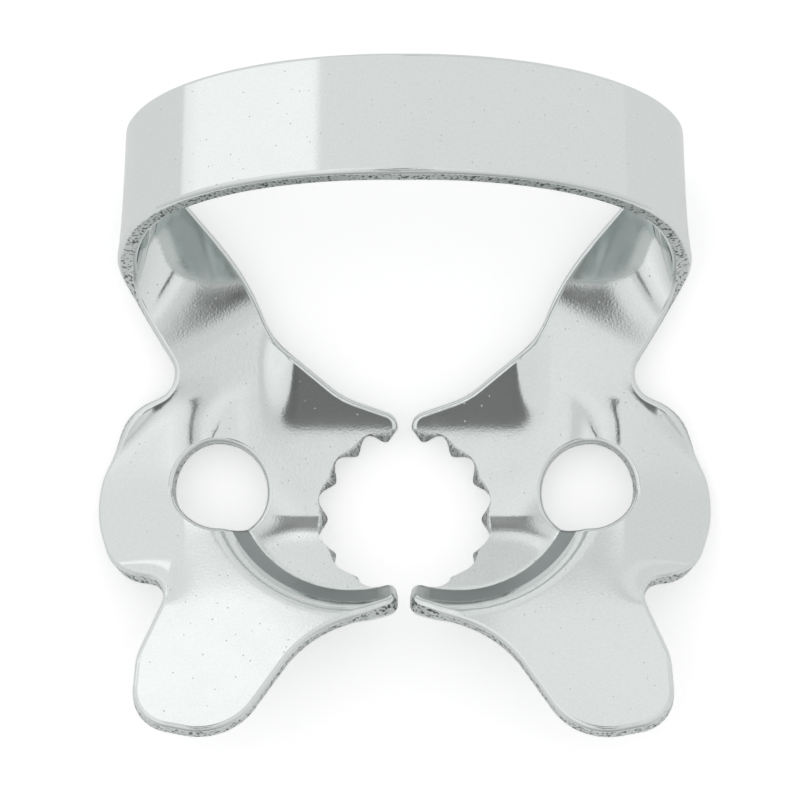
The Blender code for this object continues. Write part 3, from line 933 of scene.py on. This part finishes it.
haze_noise = add_node(tree, "ShaderNodeTexNoise", {
    "Vector": place, "Scale": 1 / HAZE_SIZE, "Detail": 3.0})
haze = add_node(tree, "ShaderNodeMapRange", {
    "Value": haze_noise.outputs["Fac"], "From Min": NOISE_SPAN[0],
    "From Max": NOISE_SPAN[1], "To Min": BUFFED_ROUGHNESS[0],
    "To Max": BUFFED_ROUGHNESS[1]})
roughness = haze.outputs["Result"]
for share, value in ((wall, SATIN_ROUGHNESS), (cut_wall, TORN_ROUGHNESS),
                     (pits, PIT_ROUGHNESS)):
    roughness = add_node(tree, "ShaderNodeMix", {
        "Factor": share, "A": roughness, "B": value}, data_type="FLOAT").outputs["Result"]
tree.links.new(roughness, shader.inputs["Roughness"])

# %% Relief
MICRON = 0.001 * MM
WAVE_HEIGHT = 6.0 * MICRON
GRAIN_HEIGHT = 0.7 * MICRON
PIT_DEPTH = 5.0 * MICRON

wavy = add_node(tree, "ShaderNodeBump", {"Height": waves, "Distance": WAVE_HEIGHT})
grainy = add_node(tree, "ShaderNodeBump", {
    "Height": grain, "Distance": GRAIN_HEIGHT, "Normal": wavy.outputs["Normal"]})
dented = add_node(tree, "ShaderNodeBump", {
    "Height": pits, "Distance": PIT_DEPTH, "Normal": grainy.outputs["Normal"]}, invert=True)
tree.links.new(dented.outputs["Normal"], shader.inputs["Normal"])

# %% [markdown]
# ## A pale floor
#
# The clamp lies on a sheet of matt white paper. Under soft light from all sides the
# paper would come out a little grey, so what the camera sees of it is lifted with a
# small glow, and so is what the metal mirrors. The glow is the same all over, and the
# clamp's soft shadow stays.

# %% Floor
FLOOR_SIZE = 1.0

floor_mesh = bpy.data.meshes.new("floor")
shape = bmesh.new()
bmesh.ops.create_grid(shape, x_segments=1, y_segments=1, size=FLOOR_SIZE)
shape.to_mesh(floor_mesh)
shape.free()
floor = bpy.data.objects.new("floor", floor_mesh)
bpy.context.scene.collection.objects.link(floor)

# %% Matt white paper
PAPER = "#F2F2F2"
PAPER_ROUGHNESS = 0.9
GLOW_SEEN = 0.40
GLOW_MIRRORED = 0.12

paper = bpy.data.materials.new("matt_white_paper")
paper.use_nodes = True
tree = paper.node_tree
shader = tree.nodes["Principled BSDF"]
shader.inputs["Base Color"].default_value = linear(PAPER)
shader.inputs["Roughness"].default_value = PAPER_ROUGHNESS
shader.inputs["Emission Color"].default_value = (1.0, 1.0, 1.0, 1.0)
ray = add_node(tree, "ShaderNodeLightPath")
by_metal = add_node(tree, "ShaderNodeMath", {0: ray.outputs["Is Glossy Ray"],
                                             1: ray.outputs["Is Transmission Ray"]},
                    operation="MAXIMUM")
mirrored = add_node(tree, "ShaderNodeMath", {0: by_metal.outputs["Value"],
                                             1: GLOW_MIRRORED}, operation="MULTIPLY")
glow = add_node(tree, "ShaderNodeMath", {0: ray.outputs["Is Camera Ray"], 1: GLOW_SEEN,
                                         2: mirrored.outputs["Value"]},
                operation="MULTIPLY_ADD")
tree.links.new(glow.outputs["Value"], shader.inputs["Emission Strength"])
floor_mesh.materials.append(paper)

# %% [markdown]
# ## A studio for a mirror
#
# A mirror has no look of its own: every tone on it is something in the room. So the
# soft studio is built as the clamp sees it. A direction in the room has two angles,
# measured on the level wings: how far it tips toward the bow, and how far to the side.
# Looking from the camera, the wings, the lobes and the jaw's floor mirror what is about
# 24 degrees toward the bow, the bow mirrors a row at 28 degrees, from far left to far
# right, and the legs and the raised back mirror what is 14 degrees behind.

# %% Angles of a direction, on the level wings
world = bpy.data.worlds.new("studio")
bpy.context.scene.world = world
world.use_nodes = True
tree = world.node_tree
background = tree.nodes["Background"]
direction = add_node(tree, "ShaderNodeTexCoord").outputs["Generated"]
on_wings = add_node(tree, "ShaderNodeVectorRotate", {
    "Vector": direction, "Axis": (1.0, 0.0, 0.0), "Angle": lean},
    rotation_type="AXIS_ANGLE").outputs["Vector"]
parts = add_node(tree, "ShaderNodeSeparateXYZ", {"Vector": on_wings})
to_bow = add_node(tree, "ShaderNodeMath", {0: parts.outputs["Y"]},
                  operation="ARCSINE").outputs["Value"]
to_side = add_node(tree, "ShaderNodeMath", {0: parts.outputs["X"], 1: parts.outputs["Z"]},
                   operation="ARCTAN2").outputs["Value"]

# %% [markdown]
# ### Panels
#
# The tent over the clamp is even white cloth with a little less light low down. What
# differs is sideways: a bright panel on the left of the bow's row with a sharp edge,
# darker ends far out, and slightly less light on the right. Each row is a list of
# angles in degrees with the brightness there, where 1 is white, and goes evenly from
# one to the next. A colour ramp can't hold more than 1, so it holds halves.

# %% Brightness along each row
OVERHEAD = (90, [(-90, 0.50), (-70, 0.62), (-45, 0.85), (-20, 0.97), (-10, 1.0),
                 (55, 1.0), (66, 0.85), (80, 0.65), (90, 0.50)])
BACK_ROW = (180, [(-180, 0.60), (-85, 0.78), (-45, 0.95), (-25, 1.06), (-12, 0.95),
                  (-6, 0.78), (-2.6, 0.78), (-1.6, 0.98), (0.5, 1.0), (1.6, 0.92),
                  (45, 0.86), (85, 0.80), (180, 0.60)])
WING_ROW = (180, [(-180, 0.92), (-1.4, 0.92), (0.1, 0.68), (1.5, 0.72), (6, 0.82),
                  (180, 0.84)])
BOW_ROW = (180, [(-180, 0.78), (-100, 0.78), (-94, 0.80), (-88, 0.95), (-78, 1.06),
                 (-69, 1.16), (-24, 1.18), (-22.6, 0.90), (92, 0.88), (97, 0.78),
                 (180, 0.78)])

levels = []
for angle, (widest, stops) in ((to_bow, OVERHEAD), (to_side, BACK_ROW),
                               (to_side, WING_ROW), (to_side, BOW_ROW)):
    share = add_node(tree, "ShaderNodeMapRange", {
        "Value": angle, "From Min": -math.radians(widest), "From Max": math.radians(widest)})
    ramp = add_node(tree, "ShaderNodeValToRGB", {"Fac": share.outputs["Result"]})
    elements = ramp.color_ramp.elements
    elements.remove(elements[-1])
    for number, (degrees, level) in enumerate(stops):
        where = (degrees + widest) / (2 * widest)
        element = elements.new(where) if number else elements[0]
        element.position = where
        element.color = (level / 2, level / 2, level / 2, 1.0)
    levels.append(ramp.outputs["Color"])
overhead, back_row, wing_row, bow_row = levels
print("ramps in the studio:", len(levels))

# %% [markdown]
# The rows follow each other toward the bow: the back's row, then the wings', then the
# bow's, and past the bow the wings' again. The steps fall at angles that hardly any
# face of the clamp mirrors to the camera.

# %% One row after the other
PAST_BACK = (6.0, 16.0)
PAST_WINGS = (25.2, 26.8)
PAST_BOW = (30.0, 32.0)

rows = back_row
for (start, end), next_row in ((PAST_BACK, wing_row), (PAST_WINGS, bow_row),
                               (PAST_BOW, wing_row)):
    past = add_node(tree, "ShaderNodeMapRange", {
        "Value": to_bow, "From Min": math.radians(start), "From Max": math.radians(end)})
    rows = add_node(tree, "ShaderNodeMix", {
        "Factor": past.outputs["Result"], "A": rows, "B": next_row},
        data_type="RGBA").outputs["Result"]
tent = add_node(tree, "ShaderNodeMix", {
    "Factor": 1.0, "A": overhead, "B": rows}, data_type="RGBA", blend_type="MULTIPLY")

# %% [markdown]
# ### What is dark
#
# A few things in the room are dark. Round the camera the tent has its opening, and the
# steep lips beside the jaw's prongs mirror it: they are the two dark wedges. Between
# the rows the cloth has narrow gaps. Two of them, one on each side, cross the legs as a
# dark band, and one in the middle draws the fold of each jaw as a dark line.

# %% The opening for the camera
VIEW_TILT = math.radians(25.0)
VIEW_SIDE = math.radians(0.7)
OPENING = math.radians(8.0)
OPENING_BLUR = math.radians(0.8)
OPENING_LEVEL = 0.22

view_on_wings = (0.0, -math.sin(VIEW_TILT), math.cos(VIEW_TILT))
along_view = add_node(tree, "ShaderNodeVectorMath", {0: on_wings, 1: view_on_wings},
                      operation="DOT_PRODUCT")
off_view = add_node(tree, "ShaderNodeMath", {0: along_view.outputs["Value"]},
                    operation="ARCCOSINE")
opening = add_node(tree, "ShaderNodeMapRange", {
    "Value": off_view.outputs["Value"], "From Min": OPENING - OPENING_BLUR,
    "From Max": OPENING + OPENING_BLUR, "To Min": OPENING_LEVEL, "To Max": 1.0})
with_opening = add_node(tree, "ShaderNodeMix", {
    "Factor": 1.0, "A": tent.outputs["Result"], "B": opening.outputs["Result"]},
    data_type="RGBA", blend_type="MULTIPLY")

# %% Gaps in the cloth
GAP_BLUR = 0.5
SIDE_GAPS = (0.14, (-9.6, -0.8), (4.9, 6.9))
MIDDLE_GAP = (0.35, (0.0, 18.0), (-2.6, 2.6))

centred = add_node(tree, "ShaderNodeMath", {0: to_side, 1: VIEW_SIDE}, operation="ADD")
either_side = add_node(tree, "ShaderNodeMath", {0: centred.outputs["Value"]},
                       operation="ABSOLUTE")
studio = with_opening
for level, forward, sideways in (SIDE_GAPS, MIDDLE_GAP):
    gap = 1.0
    for angle, (first, last) in ((to_bow, forward),
                                 (either_side.outputs["Value"], sideways)):
        for edge, side in ((first, 1), (last, -1)):
            inside = add_node(tree, "ShaderNodeMapRange", {
                "Value": angle, "From Min": math.radians(edge - side * GAP_BLUR),
                "From Max": math.radians(edge + side * GAP_BLUR)})
            gap = add_node(tree, "ShaderNodeMath", {0: gap, 1: inside.outputs["Result"]},
                           operation="MULTIPLY").outputs["Value"]
    gap_level = add_node(tree, "ShaderNodeMapRange", {
        "Value": gap, "To Min": 1.0, "To Max": level})
    studio = add_node(tree, "ShaderNodeMix", {
        "Factor": 1.0, "A": studio.outputs["Result"], "B": gap_level.outputs["Result"]},
        data_type="RGBA", blend_type="MULTIPLY")

# %% [markdown]
# Two ramps with halves were multiplied, so the strength is four. Where the camera looks
# past the floor it sees plain white, a quarter of that.

# %% World
STUDIO_STRENGTH = 4.0
PLAIN_WHITE = 1.0 / STUDIO_STRENGTH

ray = add_node(tree, "ShaderNodeLightPath")
seen = add_node(tree, "ShaderNodeMix", {
    "Factor": ray.outputs["Is Camera Ray"], "A": studio.outputs["Result"],
    "B": (PLAIN_WHITE, PLAIN_WHITE, PLAIN_WHITE, 1.0)}, data_type="RGBA")
tree.links.new(seen.outputs["Result"], background.inputs["Color"])
background.inputs["Strength"].default_value = STUDIO_STRENGTH
bpy.context.scene.view_settings.view_transform = "Standard"

# %% [markdown]
# ## Two soft lamps
#
# The wings and the jaw's floor are parallel, so far panels light them alike. To see the
# floor as a step down, something has to be near. Two soft cards hang 75 mm away, where
# the wings mirror them and the jaw's floor just doesn't. The left one is the brighter.
# Each is an area lamp, whose power is the brightness of its face times pi times its
# area.

# %% Cards over the wings
CARD_DISTANCE = 75.0 * MM
CARD_INNER_X = 4.8 * MM
CARD_OUTER_X = 22.0 * MM
CARD_NEAR = -5.7 * MM
CARD_FAR = -15.0 * MM
CARDS = (("left_card", -1, 0.32), ("right_card", 1, 0.24))

mirrored_tilt = VIEW_TILT + lean
toward_card = Vector((0.0, math.sin(mirrored_tilt), math.cos(mirrored_tilt)))
cards_middle = -math.sin(VIEW_SIDE) * CARD_DISTANCE
up_card = Vector((0.0, math.cos(mirrored_tilt), -math.sin(mirrored_tilt)))
for name, side, brightness in CARDS:
    light = bpy.data.lights.new(name, "AREA")
    light.shape = "RECTANGLE"
    light.size = CARD_OUTER_X - CARD_INNER_X
    light.size_y = CARD_NEAR - CARD_FAR
    light.energy = brightness * math.pi * light.size * light.size_y
    card = bpy.data.objects.new(name, light)
    bpy.context.scene.collection.objects.link(card)
    card.location = (hole_row + toward_card * CARD_DISTANCE
                     + up_card * (CARD_NEAR + CARD_FAR) / 2
                     + Vector((cards_middle + side * (CARD_INNER_X + CARD_OUTER_X) / 2, 0, 0)))
    card.rotation_euler = toward_card.to_track_quat("Z", "Y").to_euler()
    card.visible_camera = False
    print(name, "gives", round(light.energy * 1000, 2), "mW")

# %% [markdown]
# ## Camera
#
# The photograph was taken from high above the clamp, through a long lens, with the
# wings 25 degrees off level and the camera a hair to the right of the middle, which
# shows as the bow standing slightly left. The camera stands 280 mm from the middle
# between the forceps holes. It isn't shifted: it turns until that middle falls on the
# place that it has in the photograph.

# %% Camera
VIEW_DISTANCE = 280.0 * MM
PIXELS_PER_MM = 23.4
PIXEL_WIDTH = 800
CENTRE_PIXEL = (404.5, 486.0)
SENSOR_WIDTH = 36.0
NEAREST = 10.0 * MM
FARTHEST = 10.0

camera_data = bpy.data.cameras.new("camera")
camera = bpy.data.objects.new("camera", camera_data)
bpy.context.scene.collection.objects.link(camera)
bpy.context.scene.camera = camera
focal_pixels = PIXELS_PER_MM * VIEW_DISTANCE / MM
camera_data.sensor_width = SENSOR_WIDTH
camera_data.lens = focal_pixels * SENSOR_WIDTH / PIXEL_WIDTH
camera_data.clip_start = NEAREST
camera_data.clip_end = FARTHEST
tilt = VIEW_TILT - lean
toward_camera = (Matrix.Rotation(tilt, 3, "X") @ Matrix.Rotation(VIEW_SIDE, 3, "Y")
                 @ Vector((0.0, 0.0, 1.0)))
camera.location = hole_row + toward_camera * VIEW_DISTANCE
aim_up = math.atan((CENTRE_PIXEL[1] - PIXEL_WIDTH / 2) / focal_pixels)
aim_side = math.atan((CENTRE_PIXEL[0] - PIXEL_WIDTH / 2) / focal_pixels)
aim = (Matrix.Rotation(tilt + aim_up, 3, "X")
       @ Matrix.Rotation(VIEW_SIDE + aim_side, 3, "Y"))
camera.rotation_euler = aim.to_euler()
print("lens, mm:", round(camera_data.lens, 1))
